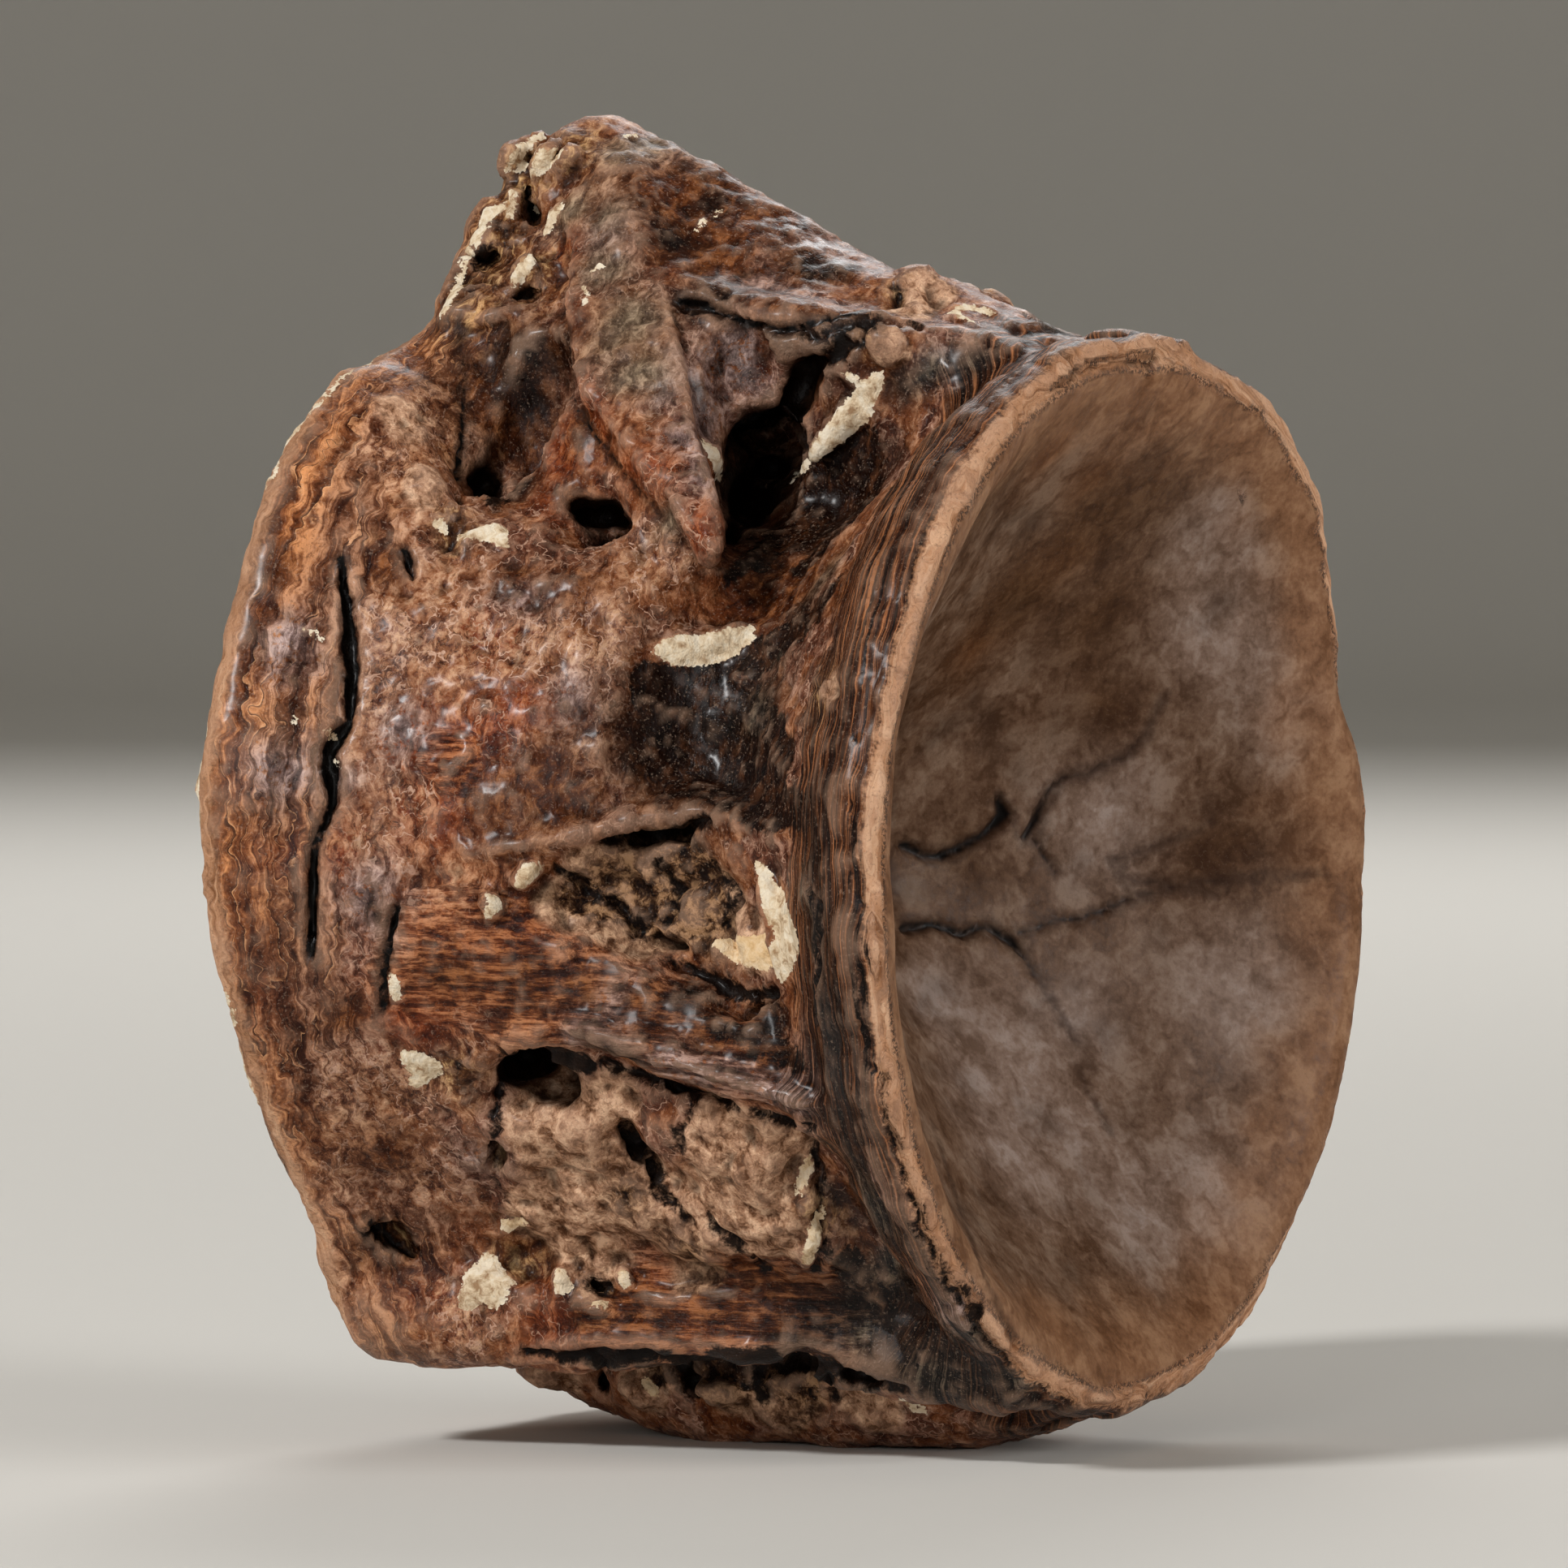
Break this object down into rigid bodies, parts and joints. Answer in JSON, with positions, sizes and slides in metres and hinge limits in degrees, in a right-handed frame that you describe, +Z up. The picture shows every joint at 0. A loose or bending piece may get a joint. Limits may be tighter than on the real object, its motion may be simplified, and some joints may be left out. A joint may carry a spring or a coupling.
{
  "type": "fossil fish vertebra",
  "caption": "Spool-shaped fossil fish vertebra with a deep conical cup at each end, ribbed and pitted sides, a stump of the neural arch on top and a worn flat keel that it stands on.",
  "frame": {"origin": "middle of the length and width, at the flat of the keel", "axes": "+X along the spine towards the larger end that the picture shows, -Y towards the side that it shows, +Z up through the neural arch"},
  "size_m": [0.026, 0.0362, 0.0446],
  "materials": {
    "fossil_bone": "mineralised brown bone, crackled tan and purple-brown, satin to glossy, with cream chalk in its hollows"
  },
  "bodies": {
    "root": {"vertebra": "fossil_bone"}
  },
  "joints": []
}
